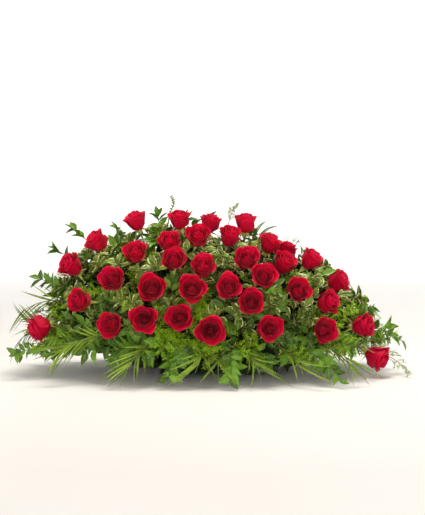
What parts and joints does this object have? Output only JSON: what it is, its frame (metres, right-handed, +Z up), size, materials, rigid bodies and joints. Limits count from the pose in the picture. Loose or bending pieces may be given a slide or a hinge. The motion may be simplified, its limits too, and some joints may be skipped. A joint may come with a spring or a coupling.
{
  "type": "casket spray",
  "caption": "Low mound of open red roses set among mixed trailing greenery, in a flat-bottomed foam saddle, to lie across the top of a casket or table.",
  "frame": {"origin": "middle of the tray's flat underside", "axes": "+X along the length, to the viewer's right; -Y towards the front; +Z up"},
  "size_m": [1.1341, 0.6692, 0.5071],
  "materials": {
    "petals": "matte velvet",
    "greenery": "satin leaf",
    "foam": "wet open-cell foam",
    "tray": "moulded",
    "tape": "waxed cloth"
  },
  "bodies": {
    "root": {"rose_head_01": "petals", "rose_head_02": "petals", "rose_head_03": "petals", "rose_head_04": "petals", "rose_head_05": "petals", "rose_head_06": "petals", "rose_head_07": "petals", "rose_head_08": "petals", "rose_head_09": "petals", "rose_head_10": "petals", "rose_head_11": "petals", "rose_head_12": "petals", "rose_head_13": "petals", "rose_head_14": "petals", "rose_head_15": "petals", "rose_head_16": "petals", "rose_head_17": "petals", "rose_head_18": "petals", "rose_head_19": "petals", "rose_head_20": "petals", "rose_head_21": "petals", "rose_head_22": "petals", "rose_head_23": "petals", "rose_head_24": "petals", "rose_head_25": "petals", "rose_head_26": "petals", "rose_head_27": "petals", "rose_head_28": "petals", "rose_head_29": "petals", "rose_head_30": "petals", "rose_head_31": "petals", "rose_head_32": "petals", "rose_head_33": "petals", "rose_head_34": "petals", "rose_head_35": "petals", "rose_head_36": "petals", "rose_head_37": "petals", "rose_head_38": "petals", "rose_head_39": "petals", "rose_head_40": "petals", "rose_head_41": "petals", "rose_head_42": "petals", "greens_front_far_left": "greenery", "greens_front_left": "greenery", "greens_front_right": "greenery", "greens_front_far_right": "greenery", "greens_back_far_left": "greenery", "greens_back_left": "greenery", "greens_back_right": "greenery", "greens_back_far_right": "greenery", "greens_top_far_left": "greenery", "greens_top_left": "greenery", "greens_top_right": "greenery", "greens_top_far_right": "greenery", "greens_left_end": "greenery", "greens_right_end": "greenery", "saddle_tray": "tray", "foam_block": "foam", "anchor_tape_left": "tape", "anchor_tape_right": "tape"}
  },
  "joints": []
}
